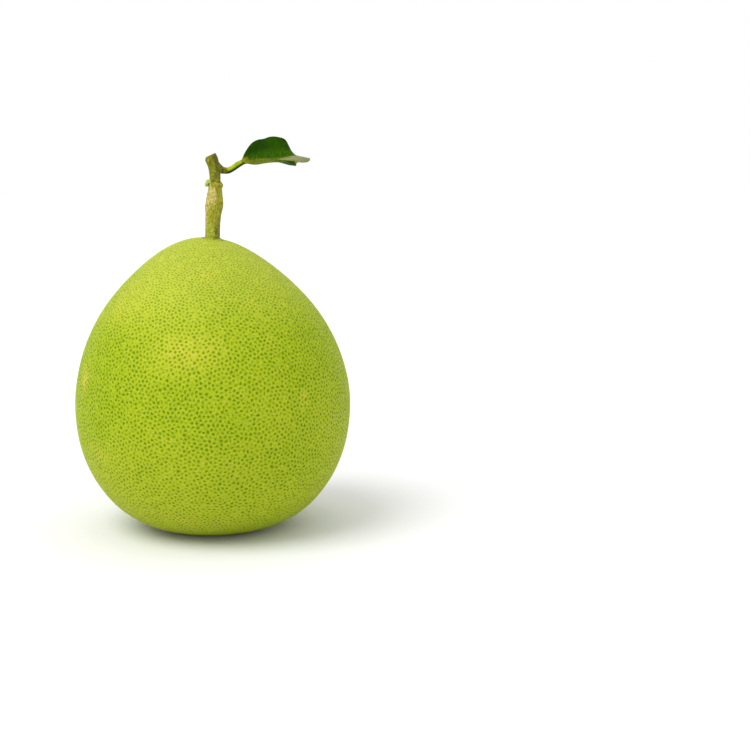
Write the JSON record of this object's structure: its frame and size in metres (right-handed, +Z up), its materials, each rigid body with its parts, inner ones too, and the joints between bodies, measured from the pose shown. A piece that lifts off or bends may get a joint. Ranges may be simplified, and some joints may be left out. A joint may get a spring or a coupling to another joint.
{
  "type": "pomelo",
  "caption": "Whole green pomelo standing on its blossom end, pear-shaped, with dimpled peel, a short woody stem and a small folded leaf.",
  "frame": {"origin": "middle of the flat spot that the fruit rests on, at its blossom end", "axes": "+Z up along the fruit's axis towards the stem; +X to the side that the leaf points to; +Y away from the viewer"},
  "size_m": [0.1542, 0.1542, 0.2188],
  "materials": {
    "peel": "satin yellow-green citrus peel with darker sunken oil glands",
    "sepal": "matte light green sepals with brown edges",
    "bark": "matte olive bark with tan cork patches",
    "leaf": "glossy dark green upper side, paler matte underside"
  },
  "bodies": {
    "root": {"fruit": "peel", "calyx": "sepal", "stem": "bark", "leaf": "leaf"}
  },
  "joints": []
}
